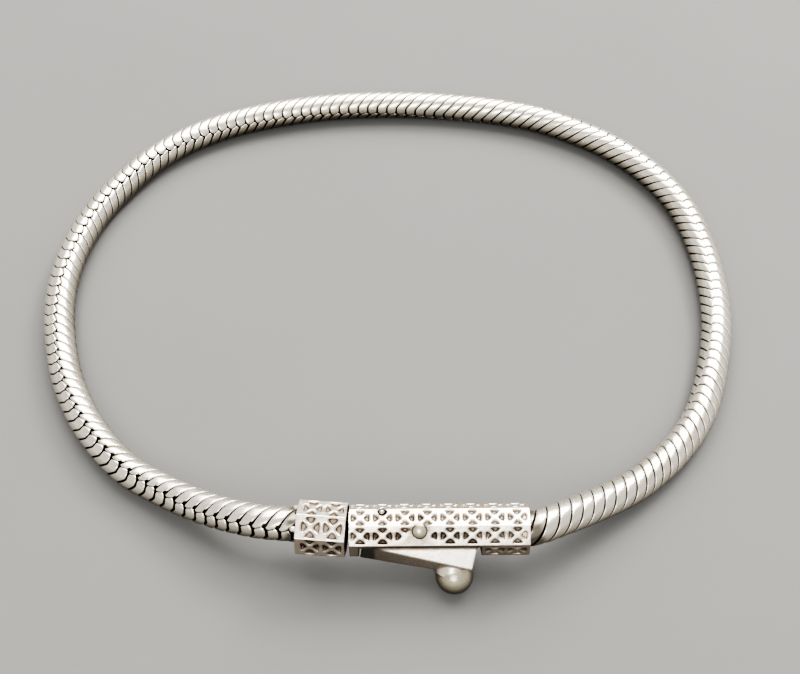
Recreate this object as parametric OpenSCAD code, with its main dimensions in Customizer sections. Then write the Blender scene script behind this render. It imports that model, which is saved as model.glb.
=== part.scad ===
// Snake chain bracelet with a sprung lever clasp, lying on a flat surface.
// +Z is up and the clasp runs along +X. The origin is under the middle of the piece, on the surface.
// Each piece is its own solid. The lever turns about the rivet, and everything else keeps its place.

/* [Chain] */
// Diameter across the chain
chain_d = 3; // [2.8:0.1:3.1]
// Mean length of chain from one band to the next
band_pitch = 1.11; // [1.11:0.01:1.3]
// Clear gap between neighbouring bands, measured along the chain
band_gap = 0.20; // [0.19:0.01:0.22]
// Wall of a band
band_wall = 0.75; // [0.5:0.05:0.8]
// Pitches that a band climbs along the chain on its way round
band_turns = 4; // [3:1:4]
// Length by which the lines between the bands step back where they meet at the seam
seam_step = 0.22; // [0.1:0.01:0.3]
// Length by which the lines step back at the crease
crease_step = 0.14; // [0.05:0.01:0.2]
// Angle that the seam leaves open between the ends of the bands
seam_gap = 9.5; // [8:0.5:10]

/* [Barrel] */
// Distance from the barrel's axis to each of its eight flats
barrel_flat = 2.06; // [2.03:0.01:2.2]
// Length of the barrel
barrel_len = 15.30; // [15.25:0.01:15.8]
// Height of the barrel's axis above the surface
clasp_z = 4.23; // [4.2:0.01:4.5]
// Angle by which the barrel is turned about its own axis
clasp_roll = 40; // [35:1:45]
// Length of one cell of the raised lattice
cell_len = 1.8945; // [1.85:0.0005:1.9]
// Depth of the lattice's pits
pit_depth = 0.15; // [0.08:0.01:0.18]
// Width of the lattice's crossing bars
bar_w = 0.38; // [0.3:0.01:0.42]

/* [End cap] */
// Number of sides of the cap
cap_sides = 7; // [7:1:8]
// Distance from the cap's axis to each of its flats
cap_flat = 2.14; // [2.1:0.01:2.25]
// Length of the cap
cap_len = 4.24; // [4.2:0.01:4.5]
// Angle by which the cap turns away from the line of the barrel
cap_yaw = 5; // [3:0.5:5]

/* [Lever] */
// Half of the lever's width
lever_half_w = 1.67; // [1.5:0.01:1.68]
// Angle by which the lever's ball end stands out at rest
lever_rest = 13; // [12:0.5:13]
// Radius of the ball under the lever
ball_r = 1.64; // [1.5:0.01:1.7]
// Radius of the rivet's shank
rivet_r = 0.45; // [0.4:0.01:0.46]

/* [Hidden] */

SILVER = [0.80, 0.79, 0.76];
BRIGHT = [0.88, 0.86, 0.80];
FINE = 48;

// The route of the chain's centre from inside the end cap round to inside the barrel.
// The seam is an angle round the chain: 0 faces out of the loop and 90 faces up.
X = 0;
Y = 1;
Z = 2;
SEAM = 3;
ROUTE = [
    [-4.6, -25.0, 4.2, 36],
    [-8.0, -24.7, 4.2, 38],
    [-11.9, -24.0, 3.7, 44],
    [-16.6, -22.1, 2.5, 48],
    [-21.5, -19.4, 1.6, 67],
    [-24.2, -17.6, 1.5, 76],
    [-26.7, -15.0, 1.5, 80],
    [-28.8, -12.1, 1.5, 80],
    [-30.8, -8.2, 1.5, 79],
    [-32.1, -4.1, 1.5, 82],
    [-32.9, 0.1, 1.5, 92],
    [-33.0, 4.5, 1.5, 100],
    [-32.2, 9.1, 1.5, 108],
    [-30.4, 13.8, 1.5, 109],
    [-27.1, 18.8, 1.5, 118],
    [-24.2, 21.8, 1.5, 132],
    [-21.0, 24.0, 1.5, 142],
    [-17.2, 25.8, 1.5, 152],
    [-13.2, 27.0, 1.5, 156],
    [-8.8, 27.9, 1.5, 165],
    [-4.3, 28.4, 1.5, 173],
    [1.1, 28.5, 1.5, 183],
    [6.0, 28.2, 1.5, 201],
    [10.5, 27.6, 1.5, 211],
    [13.9, 26.9, 1.5, 217],
    [17.4, 25.8, 1.5, 222],
    [21.8, 23.6, 1.5, 234],
    [25.2, 21.2, 1.5, 242],
    [28.6, 17.6, 1.5, 248],
    [31.2, 13.1, 1.5, 249],
    [32.5, 7.9, 1.5, 249],
    [32.9, 2.5, 1.5, 258],
    [32.5, -2.6, 1.5, 272],
    [31.2, -7.9, 1.5, 284],
    [29.3, -12.6, 1.5, 300],
    [26.5, -16.4, 1.5, 308],
    [23.3, -19.3, 1.6, 316],
    [20.8, -21.0, 2.0, 321],
    [17.8, -22.7, 2.8, 325],
    [14.9, -24.2, 3.7, 329],
    [13.2, -25.0, 4.1, 331],
    [11.7, -25.36, 4.2, 333],
    [9.2, -25.3, 4.2, 336],
];
ROWS_BETWEEN = 6;
HEADING_STEP = 0.4;

// The barrel's left face on its axis. The clasp's own axes start there.
CLASP_ORIGIN = [-3.26, -25.29, clasp_z];
BARREL_SIDES = 8;
BARREL_CELLS = 8;
FACET_TURN = 360 / BARREL_SIDES;
barrel_side = 2 * barrel_flat * tan(180 / BARREL_SIDES);

// The barrel is hollow for the lever and the tongue, then solid, then a socket for the chain.
barrel_wall = 0.37;
hollow_flat = barrel_flat - barrel_wall;
hollow_len = 11.3;
socket_room = 0.2;
socket_r = chain_d / 2 + socket_room;
socket_start = 12.2;
socket_flare = 0.2;
socket_flare_len = 1.6;
slot_start = 0.81;
slot_end = 11.23;
slot_room = 0.08;
slot_half_w = lever_half_w + slot_room;
slot_top = 0.65;

// The rivet crosses the barrel from the flat that faces the viewer to the flat behind it.
RIVET_AT = [5.96, 0.42];
head_r = 0.70;
head_rise = 0.28;
lever_bore_room = 0.03;
barrel_bore_room = 0.02;
lever_bore_r = rivet_r + lever_bore_room;
barrel_bore_r = rivet_r + barrel_bore_room;

// A small pin stands in the next flat up.
PIN_AT = [2.79, 0.587];
pin_r = 0.18;
pin_head_r = 0.26;
pin_head_rise = 0.14;
pin_depth = 0.2;
pin_room = 0.01;
pin_lift = 0.02;

// The end cap starts just left of the barrel and carries the tongue that the lever catches.
cap_gap = 0.22;
cap_turn = 24;
cap_socket_len = 3.62;
cap_side = 2 * cap_flat * tan(180 / cap_sides);
CAP_CELLS = 2;
cap_cell_len = 1.88;
cap_rim = 0.13;
tongue_half_w = 0.75;
tongue_low = 0.65;
tongue_high = 1.45;
tongue_len = 4.4;
notch_start = 1.42;
notch_end = 2.45;
notch_depth = 0.5;

// The lever's profile is drawn from the rivet: along the lever, and outwards from the barrel.
lever_left = -4.35;
lever_right = 5.12;
lever_left_top = 0.9;
lever_right_top = -0.2;
lever_side_out = 2.41;
lever_left_out = 3.8;
lever_neck_out = 3.37;
lever_neck_start = 2.1;
nose_end = -3.66;
nose_top = 0.35;
nose_half_w = 0.8;
hub_r = 0.9;
hub_half_len = 1.0;
neck_r = 1.5;
neck_top = 2;
neck_at = 3.6;
BALL_AT = [3.92, 3.67];

// A band is a strip of four corners at each station round the chain.
band_r = chain_d / 2;
inner_ease = 0.07;
sleeve_min = 0.35;
sleeve_room = 0.03;

// How a line between two bands runs: the angle turned from the seam, and the length climbed
// along the chain. It starts square to the chain, climbs to the crease, steps back there, runs
// square again and then climbs to the seam.
band_climb = band_turns * band_pitch + seam_step;
half_climb = band_turns * band_pitch / 2;
LINE_WAY = [
    [0, 0],
    [32, 0],
    [150, half_climb + crease_step],
    [157, half_climb],
    [182, half_climb],
    [360, band_climb],
];
STATION_TURNS = [seam_gap / 2, 32, 61, 91, 121, 150, 157, 182, 216, 250, 284, 318, 360 - seam_gap / 2];

// The bands are not quite evenly spaced: the chain is drawn out a little in some places and
// pushed together in others. Each row has a place along evenly spaced bands, and how far
// beyond it the band there really lies.
BAND_DRIFT = [
    [0, 0.48],
    [12, 0.5],
    [24, 0.7],
    [36, 0.8],
    [50, 1.2],
    [64, 1.53],
    [80, 1.2],
    [96, 1.02],
    [112, 1.07],
    [126, 0.9],
    [140, 0.37],
    [150, -0.1],
    [158, -0.52],
    [163, -0.88],
    [168, -0.25],
    [172.5, 0.2],
    [175, 0.1],
];

function between_rows(a, b, c, d, t) =
    0.5 * (2 * b + (c - a) * t + (2 * a - 5 * b + 4 * c - d) * t * t + (3 * b - a - 3 * c + d) * t * t * t);

function route_row(i) = ROUTE[max(0, min(len(ROUTE) - 1, i))];

FINE_ROUTE = [
    for (i = [0 : len(ROUTE) - 2])
        for (k = [0 : ROWS_BETWEEN - 1])
            between_rows(
                route_row(i - 1),
                route_row(i),
                route_row(i + 1),
                route_row(i + 2),
                k / ROWS_BETWEEN
            ),
    ROUTE[len(ROUTE) - 1],
];

function centre_of(row) = [row[X], row[Y], row[Z]];

function step_len(i) = i == 0 ? 0 : norm(centre_of(FINE_ROUTE[i]) - centre_of(FINE_ROUTE[i - 1]));

ALONG = [
    for (
        i = 0, total = 0;
        i < len(FINE_ROUTE);
        i = i + 1, total = total + (i < len(FINE_ROUTE) ? step_len(i) : 0)
    )
        total
];

function column(c) = [for (i = [0 : len(FINE_ROUTE) - 1]) [ALONG[i], FINE_ROUTE[i][c]]];

X_ALONG = column(X);
Y_ALONG = column(Y);
Z_ALONG = column(Z);
SEAM_ALONG = column(SEAM);

chain_len = ALONG[len(ALONG) - 1];
band_count = floor((chain_len - band_climb - 2 * sleeve_min) / band_pitch);
even_start = (chain_len - band_climb - band_count * band_pitch) / 2;
half_count = round(band_count / 2);

// Where the line before each band starts along the chain. Both sleeves end at such lines.
function line_place(i) =
    let (even = even_start + i * band_pitch)
    even + lookup(even, BAND_DRIFT);

first_line = line_place(0);
last_line = line_place(band_count);

// Places along the chain's centre line, and points on the chain round it.
function centre_at(along) = [lookup(along, X_ALONG), lookup(along, Y_ALONG), lookup(along, Z_ALONG)];

function heading_at(along) =
    let (way = centre_at(along + HEADING_STEP) - centre_at(along - HEADING_STEP))
    way / norm(way);

function chain_point(along, angle, radius) =
    let (
        heading = heading_at(along),
        level = cross([0, 0, 1], heading),
        outward = level / norm(level),
        upward = cross(heading, outward)
    )
    centre_at(along) + radius * (cos(angle) * outward + sin(angle) * upward);

// A point on the line that starts at a place along the chain, by the angle turned from the seam.
function line_point(line, turn, radius, shift) =
    let (along = line + lookup(turn, LINE_WAY))
    chain_point(along + shift, lookup(along, SEAM_ALONG) - turn, radius);

// The four corners of a band's section at a station, between two lines.
function band_section(low, high, turn) =
    let (half = band_gap / 2, inner_r = band_r - band_wall)
    [
        line_point(low, turn, band_r, half),
        line_point(high, turn, band_r, -half),
        line_point(high, turn, inner_r, -half - inner_ease),
        line_point(low, turn, inner_r, half + inner_ease),
    ];

// The plain sleeve at each end of the chain fills from the end to the nearest line, where it
// leaves a little more room.
function first_sleeve_section(turn) =
    let (
        half = band_gap / 2 + sleeve_room,
        inner_r = band_r - band_wall,
        angle = lookup(first_line + lookup(turn, LINE_WAY), SEAM_ALONG) - turn
    )
    [
        chain_point(0, angle, band_r),
        line_point(first_line, turn, band_r, -half),
        line_point(first_line, turn, inner_r, -half - inner_ease),
        chain_point(0, angle, inner_r),
    ];

function last_sleeve_section(turn) =
    let (
        half = band_gap / 2 + sleeve_room,
        inner_r = band_r - band_wall,
        angle = lookup(last_line + lookup(turn, LINE_WAY), SEAM_ALONG) - turn
    )
    [
        line_point(last_line, turn, band_r, half),
        chain_point(chain_len, angle, band_r),
        chain_point(chain_len, angle, inner_r),
        line_point(last_line, turn, inner_r, half + inner_ease),
    ];

// Two triangles for each side of a strip between stations. The two side walls are split along
// the same diagonal, so that the walls of neighbouring bands stay parallel.
function strip_side(station, corner) =
    let (
        a = 4 * station + corner,
        b = 4 * station + (corner + 1) % 4,
        c = 4 * (station + 1) + (corner + 1) % 4,
        d = 4 * (station + 1) + corner
    )
    corner == 3 ? [[a, d, b], [b, d, c]] : [[a, c, b], [a, d, c]];

STRIP_FACES = [
    [0, 2, 3],
    [0, 1, 2],
    for (station = [0 : len(STATION_TURNS) - 2])
        for (corner = [0 : 3])
            for (face = strip_side(station, corner))
                face,
    for (face = [[0, 3, 2], [0, 2, 1]])
        [for (corner = face) corner + 4 * (len(STATION_TURNS) - 1)],
];

// Joins a strip's sections into one closed solid.
module strip(sections) {
    polyhedron(points = [for (section = sections) for (corner = section) corner], faces = STRIP_FACES);
}

module band(i) {
    strip([for (turn = STATION_TURNS) band_section(line_place(i), line_place(i + 1), turn)]);
}

module chain_left() {
    color(SILVER) {
        strip([for (turn = STATION_TURNS) first_sleeve_section(turn)]);
        for (i = [0 : half_count - 1])
            band(i);
    }
}

module chain_right() {
    color(SILVER) {
        for (i = [half_count : band_count - 1])
            band(i);
        strip([for (turn = STATION_TURNS) last_sleeve_section(turn)]);
    }
}

// Moves to the clasp's own axes: x along the barrel, z out of the flat with the rivet's head.
module in_clasp() {
    translate(CLASP_ORIGIN)
        rotate([clasp_roll, 0, 0])
            children();
}

// A prism along x with the given number of flats, one of them facing +z.
module prism(sides, flat, length) {
    corner_turn = sides % 2 == 0 ? 180 / sides : 0;
    rotate([0, 90, 0])
        rotate([0, 0, corner_turn])
            cylinder(h = length, r = flat / cos(180 / sides), $fn = sides);
}

// The four pits between the crossing bars of one lattice cell, cut down from z = 0.
// Each of them can be left out where the real one is plain.
module cell_pits(length, width, left = true, right = true, low = true, high = true) {
    a = length / 2 - bar_w / 2;
    b = width / 2 - bar_w / 2;
    slope = atan2(b, a);
    across = bar_w / 2 / cos(slope);
    along = bar_w / 2 / sin(slope);
    side_pit = [[a, b - across], [a, across - b], [across * a / b, 0]];
    edge_pit = [[a - along, b], [along - a, b], [0, along * b / a]];
    translate([0, 0, -pit_depth]) {
        if (left)
            mirror([1, 0, 0])
                linear_extrude(1)
                    polygon(side_pit);
        if (right)
            linear_extrude(1)
                polygon(side_pit);
        if (low)
            mirror([0, 1, 0])
                linear_extrude(1)
                    polygon(edge_pit);
        if (high)
            linear_extrude(1)
                polygon(edge_pit);
    }
}

// Facets of the barrel are counted from the one with the rivet's head, towards the lever.
// Those beside the lever's slot have pits only past its right end, and some make room for the rivet.
module barrel_pits() {
    first_whole_cell = 6;
    cell_before_rivet = 2;
    cell_after_rivet = 3;
    for (facet = [0 : BARREL_SIDES - 1]) {
        beside_slot = facet >= 1 && facet <= 3;
        behind = facet == BARREL_SIDES / 2;
        rotate([FACET_TURN * facet, 0, 0])
            for (cell = [(beside_slot ? first_whole_cell : 0) : BARREL_CELLS - 1]) {
                before = (facet == 0 || behind) && cell == cell_before_rivet;
                after = (facet == 0 || behind) && cell == cell_after_rivet;
                translate([(cell + 0.5) * cell_len, 0, barrel_flat])
                    mirror([0, behind ? 1 : 0, 0])
                        cell_pits(
                            cell_len,
                            barrel_side,
                            left = !after,
                            right = !before,
                            low = !before && !after,
                            high = !after
                        );
            }
    }
}

module end_cap() {
    cap_start = cap_rim + CAP_CELLS * cap_cell_len;
    color(SILVER)
        difference() {
            union() {
                translate(CLASP_ORIGIN - [cap_gap, 0, 0])
                    rotate([0, 0, -cap_yaw])
                        rotate([cap_turn, 0, 0]) {
                            difference() {
                                translate([-cap_len, 0, 0])
                                    prism(cap_sides, cap_flat, cap_len);
                                for (facet = [0 : cap_sides - 1])
                                    rotate([360 / cap_sides * facet, 0, 0])
                                        for (cell = [0 : CAP_CELLS - 1])
                                            translate([(cell + 0.5) * cap_cell_len - cap_start, 0, cap_flat])
                                                cell_pits(cap_cell_len, cap_side);
                            }
                            cap_solder();
                        }
                tongue();
            }
            translate(CLASP_ORIGIN - [cap_gap, 0, 0])
                rotate([0, 0, -cap_yaw])
                    translate([-cap_len - 1, 0, 0])
                        rotate([0, 90, 0])
                            cylinder(h = cap_socket_len + 1, r = socket_r, $fn = FINE);
        }
}

// Two small runs of solder on the rim round the chain. Angles are from the flat that faces the viewer.
module cap_solder() {
    bead_r = 0.21;
    bead_back = 0.16;
    bead_out = 1.88;
    bead_turn = -53;
    lump_r = 0.28;
    lump_back = 0.2;
    lump_out = 1.9;
    lump_turn = 7;
    rotate([bead_turn, 0, 0])
        translate([-cap_len - bead_back, 0, bead_out])
            sphere(r = bead_r, $fn = FINE);
    rotate([lump_turn, 0, 0])
        translate([-cap_len - lump_back, 0, lump_out])
            sphere(r = lump_r, $fn = FINE);
}

// The flat tongue under the barrel's back flat, with the notch for the lever's nose.
module tongue() {
    root = 0.6;
    in_clasp()
        difference() {
            translate([-root, tongue_low, -tongue_half_w])
                cube([root + tongue_len, tongue_high - tongue_low, 2 * tongue_half_w]);
            translate([notch_start, tongue_low - 1, -tongue_half_w - 1])
                cube([notch_end - notch_start, notch_depth + 1, 2 * tongue_half_w + 2]);
        }
}

module barrel() {
    color(SILVER)
        in_clasp()
            difference() {
                prism(BARREL_SIDES, barrel_flat, barrel_len);
                barrel_pits();
                translate([-1, 0, 0])
                    prism(BARREL_SIDES, hollow_flat, hollow_len + 1);
                translate([slot_start, -barrel_flat - 1, -slot_half_w])
                    cube([slot_end - slot_start, barrel_flat + 1 + slot_top, 2 * slot_half_w]);
                translate([socket_start, 0, 0])
                    rotate([0, 90, 0])
                        cylinder(h = barrel_len, r = socket_r, $fn = FINE);
                translate([barrel_len - socket_flare_len, 0, 0])
                    rotate([0, 90, 0])
                        cylinder(
                            h = socket_flare_len,
                            r1 = socket_r,
                            r2 = socket_r + socket_flare,
                            $fn = FINE
                        );
                translate([RIVET_AT[0], RIVET_AT[1], -barrel_flat - 1])
                    cylinder(h = 2 * barrel_flat + 2, r = barrel_bore_r, $fn = FINE);
                rotate([-FACET_TURN, 0, 0])
                    translate([PIN_AT[0], PIN_AT[1], barrel_flat - pin_depth])
                        cylinder(h = 1, r = pin_r + pin_room, $fn = FINE);
            }
}

// A low dome on the plane z = 0.
module dome(radius, rise) {
    ball = (radius * radius + rise * rise) / (2 * rise);
    intersection() {
        translate([0, 0, rise - ball])
            sphere(r = ball, $fn = FINE);
        cylinder(h = 1, r = radius, $fn = FINE);
    }
}

module rivet() {
    color(BRIGHT)
        in_clasp()
            translate([RIVET_AT[0], RIVET_AT[1], 0]) {
                translate([0, 0, -barrel_flat])
                    cylinder(h = 2 * barrel_flat, r = rivet_r, $fn = FINE);
                for (side = [0, 1])
                    mirror([0, 0, side])
                        translate([0, 0, barrel_flat])
                            dome(head_r, head_rise);
            }
}

module guide_pin() {
    color(SILVER)
        in_clasp()
            rotate([-FACET_TURN, 0, 0])
                translate([PIN_AT[0], PIN_AT[1], barrel_flat]) {
                    dome(pin_head_r, pin_head_rise);
                    translate([0, 0, pin_lift - pin_depth])
                        cylinder(h = pin_depth, r = pin_r, $fn = FINE);
                }
}

// The lever's side view, from the rivet: along the lever, and outwards from the barrel.
module lever_profile() {
    polygon([
        [lever_left, lever_left_top],
        [0, lever_left_top],
        [0, lever_right_top],
        [lever_right, lever_right_top],
        [lever_right, lever_side_out],
        [lever_neck_start, lever_neck_out],
        [lever_left, lever_left_out],
    ]);
}

// The lever's end view, with its two long chamfers.
module lever_section() {
    foot = lever_left_out - lever_side_out;
    polygon([
        [-lever_half_w, -hub_r],
        [lever_half_w, -hub_r],
        [lever_half_w, lever_side_out],
        [lever_half_w - foot, lever_left_out],
        [foot - lever_half_w, lever_left_out],
        [-lever_half_w, lever_side_out],
    ]);
}

module lever() {
    color(BRIGHT)
        in_clasp()
            translate([RIVET_AT[0], RIVET_AT[1], 0])
                rotate([0, 0, -lever_rest])
                    mirror([0, 1, 0])
                        difference() {
                            union() {
                                intersection() {
                                    translate([0, 0, -lever_half_w])
                                        linear_extrude(2 * lever_half_w)
                                            lever_profile();
                                    translate([lever_left - 1, 0, 0])
                                        rotate([90, 0, 90])
                                            linear_extrude(lever_right - lever_left + 2)
                                                rotate([0, 0, 90])
                                                    mirror([0, 1, 0])
                                                        lever_section();
                                }
                                translate([lever_left, nose_top, -nose_half_w])
                                    cube([nose_end - lever_left, 1, 2 * nose_half_w]);
                                translate([0, 0, -hub_half_len])
                                    cylinder(h = 2 * hub_half_len, r = hub_r, $fn = FINE);
                                translate([neck_at, neck_top, 0])
                                    rotate([-90, 0, 0])
                                        cylinder(h = BALL_AT[1] - neck_top, r = neck_r, $fn = FINE);
                                translate([BALL_AT[0], BALL_AT[1], 0])
                                    sphere(r = ball_r, $fn = FINE);
                            }
                            translate([0, 0, -barrel_flat])
                                cylinder(h = 2 * barrel_flat, r = lever_bore_r, $fn = FINE);
                        }
}

chain_left();
chain_right();
end_cap();
barrel();
guide_pin();
rivet();
lever();
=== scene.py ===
"""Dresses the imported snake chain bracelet: its bands, cast clasp, lever, finishes, light and camera.

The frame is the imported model's own: the surface is z = 0, the barrel of the clasp runs along +X and
the loop lies behind it, towards +Y. Sizes and places are in millimetres and angles in degrees. The
meshes, the floor, the lights and the camera's clipping are in metres.
"""

import logging
import math
from collections.abc import Callable
from dataclasses import dataclass, field
from enum import Enum

import bpy
import numpy as np
from bpy.types import ID, Material, Mesh, Node, NodeSocket, NodeTree, Object
from mathutils import Matrix, Vector
from mathutils.bvhtree import BVHTree


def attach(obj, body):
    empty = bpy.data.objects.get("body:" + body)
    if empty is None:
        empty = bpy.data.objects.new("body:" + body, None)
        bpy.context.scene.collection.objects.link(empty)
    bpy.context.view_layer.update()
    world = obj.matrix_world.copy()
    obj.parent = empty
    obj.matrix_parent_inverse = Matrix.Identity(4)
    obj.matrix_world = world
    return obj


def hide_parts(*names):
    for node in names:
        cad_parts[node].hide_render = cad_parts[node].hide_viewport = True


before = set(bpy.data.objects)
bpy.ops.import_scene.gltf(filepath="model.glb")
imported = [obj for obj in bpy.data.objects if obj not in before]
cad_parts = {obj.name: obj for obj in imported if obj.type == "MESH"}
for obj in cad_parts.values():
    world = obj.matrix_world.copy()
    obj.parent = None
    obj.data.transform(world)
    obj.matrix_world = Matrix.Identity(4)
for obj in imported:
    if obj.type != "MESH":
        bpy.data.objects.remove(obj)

Pair = tuple[float, float]
Triple = tuple[float, float, float]

LOG = logging.getLogger("bracelet")
MM = 0.001
FLOAT_KIND = "FLOAT"
RELIEF = "relief_depth"
# piece_shade holds how much darker each point is painted: some random tone, and painted shade on
# undersides, in pits and corners, and beside other parts.
SHADE = "piece_shade"
# Where the grime and painted shade beside other pieces start and become full, as shares of closeness.
GRIME_AND_SHADE_START = 0.35
GRIME_AND_SHADE_FULL = 0.70


class Column(Enum):
    """The columns of the chain's route table."""

    X = 0
    Y = 1
    Z = 2
    SEAM = 3


class Body(Enum):
    """The rigid bodies that the pieces ride on."""

    BRACELET = "bracelet"
    LEVER = "lever"


# The route of the chain's centre from inside the end cap round to inside the barrel. Each place has
# X, Y and Z in millimetres, and the angle round the chain of the seam where its bands end.
ROUTE = (
    (-4.6, -25.0, 4.2, 36), (-8.0, -24.7, 4.2, 38), (-11.9, -24.0, 3.7, 44), (-16.6, -22.1, 2.5, 48),
    (-21.5, -19.4, 1.6, 67), (-24.2, -17.6, 1.5, 76), (-26.7, -15.0, 1.5, 80), (-28.8, -12.1, 1.5, 80),
    (-30.8, -8.2, 1.5, 79), (-32.1, -4.1, 1.5, 82), (-32.9, 0.1, 1.5, 92), (-33.0, 4.5, 1.5, 100),
    (-32.2, 9.1, 1.5, 108), (-30.4, 13.8, 1.5, 109), (-27.1, 18.8, 1.5, 118), (-24.2, 21.8, 1.5, 132),
    (-21.0, 24.0, 1.5, 142), (-17.2, 25.8, 1.5, 152), (-13.2, 27.0, 1.5, 156), (-8.8, 27.9, 1.5, 165),
    (-4.3, 28.4, 1.5, 173), (1.1, 28.5, 1.5, 183), (6.0, 28.2, 1.5, 201), (10.5, 27.6, 1.5, 211),
    (13.9, 26.9, 1.5, 217), (17.4, 25.8, 1.5, 222), (21.8, 23.6, 1.5, 234), (25.2, 21.2, 1.5, 242),
    (28.6, 17.6, 1.5, 248), (31.2, 13.1, 1.5, 249), (32.5, 7.9, 1.5, 249), (32.9, 2.5, 1.5, 258),
    (32.5, -2.6, 1.5, 272), (31.2, -7.9, 1.5, 284), (29.3, -12.6, 1.5, 300), (26.5, -16.4, 1.5, 308),
    (23.3, -19.3, 1.6, 316), (20.8, -21.0, 2.0, 321), (17.8, -22.7, 2.8, 325), (14.9, -24.2, 3.7, 329),
    (13.2, -25.0, 4.1, 331), (11.7, -25.36, 4.2, 333), (9.2, -25.3, 4.2, 336),
)

# The bands are drawn out a little in some places and pushed together in others. Each pair has a
# place along evenly spaced bands, and how far beyond it the band there lies, in millimetres.
BAND_DRIFT = (
    (0, 0.48), (12, 0.5), (24, 0.7), (36, 0.8), (50, 1.2), (64, 1.53),
    (80, 1.2), (96, 1.02), (112, 1.07), (126, 0.9), (140, 0.37), (150, -0.1),
    (158, -0.52), (163, -0.88), (168, -0.25), (172.5, 0.2), (175, 0.1),
)

# Clear gaps between the bands, in millimetres. Each row has a place along the chain, then the
# gaps at the angles of GAP_ANGLES round it. The gaps are wider where the lines lie in shade, so
# that more of the near-black core shows through as painted shade.
GAP_ANGLES = (-20.0, 20.0, 60.0, 100.0, 140.0, 180.0, 220.0)
ANGLE_WRAP = -60.0
GAPS = (
    (0, 0.23, 0.23, 0.14, 0.08, 0.07, 0.08, 0.10),
    (14, 0.23, 0.23, 0.17, 0.08, 0.07, 0.07, 0.10),
    (22, 0.19, 0.21, 0.17, 0.10, 0.08, 0.07, 0.10),
    (36, 0.10, 0.13, 0.11, 0.08, 0.07, 0.09, 0.10),
    (50, 0.10, 0.11, 0.09, 0.08, 0.09, 0.12, 0.12),
    (60, 0.08, 0.08, 0.07, 0.08, 0.13, 0.16, 0.16),
    (82, 0.08, 0.07, 0.07, 0.07, 0.09, 0.16, 0.18),
    (104, 0.08, 0.07, 0.06, 0.07, 0.12, 0.16, 0.18),
    (118, 0.08, 0.07, 0.06, 0.07, 0.12, 0.17, 0.18),
    (129, 0.08, 0.08, 0.08, 0.08, 0.10, 0.20, 0.22),
    (147, 0.08, 0.09, 0.09, 0.08, 0.14, 0.18, 0.18),
    (162, 0.18, 0.17, 0.13, 0.08, 0.08, 0.10, 0.12),
    (180, 0.19, 0.18, 0.15, 0.08, 0.08, 0.10, 0.12),
)

# How wide the dark corners between the bands' ends are: each pair has a place along the chain, in
# millimetres, and the share of the full width there.
CORNER_SHARES = ((0.0, 1.0), (22.0, 1.0), (36.0, 0.15), (50.0, 0.12), (60.0, 0.4), (180.0, 0.6))


def add_object(name: str, data: ID) -> Object:
    """Makes an object and links it to the scene.

    Args:
        name: The object's name.
        data: Its mesh, light or camera.

    Returns:
        The new object.
    """
    obj = bpy.data.objects.new(name, data)
    bpy.context.scene.collection.objects.link(obj)
    return obj


def make_object(
    name: str,
    points: np.ndarray,
    faces: list[tuple[int, ...]],
    layers: dict[str, np.ndarray] | None = None,
) -> Object:
    """Makes a smooth-shaded mesh object and links it to the scene.

    Args:
        name: The object's name.
        points: Its points in metres, one row each.
        faces: Its faces as tuples of point numbers, seen from outside.
        layers: Values to store on the points, by name.

    Returns:
        The new object.
    """
    mesh = bpy.data.meshes.new(name)
    mesh.from_pydata([tuple(p) for p in points], [], faces)
    mesh.update()
    for layer, values in (layers or {}).items():
        store_layer(mesh, layer, values)
    mesh.polygons.foreach_set("use_smooth", [True] * len(mesh.polygons))
    return add_object(name, mesh)


def store_layer(mesh: Mesh, name: str, values: np.ndarray) -> None:
    """Stores one number on each point of a mesh, for a material to read.

    Args:
        mesh: The mesh.
        name: The layer's name.
        values: One number for each point.
    """
    layer = mesh.attributes.new(name, FLOAT_KIND, "POINT")
    layer.data.foreach_set("value", np.asarray(values, np.float32))


def mesh_rows(mesh: Mesh, value: str) -> np.ndarray:
    """Reads three numbers for each point of a mesh.

    Args:
        mesh: The mesh.
        value: What is read: co for the places in metres, or normal.

    Returns:
        One row for each point.
    """
    flat = np.zeros(len(mesh.vertices) * 3)
    mesh.vertices.foreach_get(value, flat)
    return flat.reshape(-1, 3)


def mesh_points(mesh: Mesh) -> np.ndarray:
    """Returns the places of a mesh's points in metres, one row each."""
    return mesh_rows(mesh, "co")


def mesh_normals(mesh: Mesh) -> np.ndarray:
    """Returns the normals at a mesh's points, one row each."""
    return mesh_rows(mesh, "normal")


def spread_out(mesh: Mesh, values: np.ndarray, rounds: int) -> np.ndarray:
    """Averages each point's value with its neighbours' values.

    Args:
        mesh: The mesh.
        values: One number, or one row of numbers, for each point.
        rounds: How many times to average.

    Returns:
        The averaged values.
    """
    ends = np.zeros(len(mesh.edges) * 2, int)
    mesh.edges.foreach_get("vertices", ends)
    first, second = ends.reshape(-1, 2).T
    joined = np.maximum(np.bincount(ends, minlength=len(values)), 1)
    rows = values.reshape(len(values), -1).T.copy()
    for _ in range(rounds):
        for row in rows:
            total = np.bincount(first, row[second], len(row)) + np.bincount(second, row[first], len(row))
            row[:] = total / joined
    return rows.T.reshape(values.shape)


def hollowness(mesh: Mesh, full: float) -> np.ndarray:
    """Measures how sharply a mesh is hollow at each point, as in the corner of a pit.

    Args:
        mesh: The mesh.
        full: How far the neighbours stand above a point that counts as fully hollow, in metres.

    Returns:
        A number from 0 to 1 for each point.
    """
    points = mesh_points(mesh)
    surroundings = spread_out(mesh, points, rounds=2)
    above = ((surroundings - points) * mesh_normals(mesh)).sum(axis=1)
    return np.clip(spread_out(mesh, above, rounds=1) / full, 0.0, 1.0)


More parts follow.
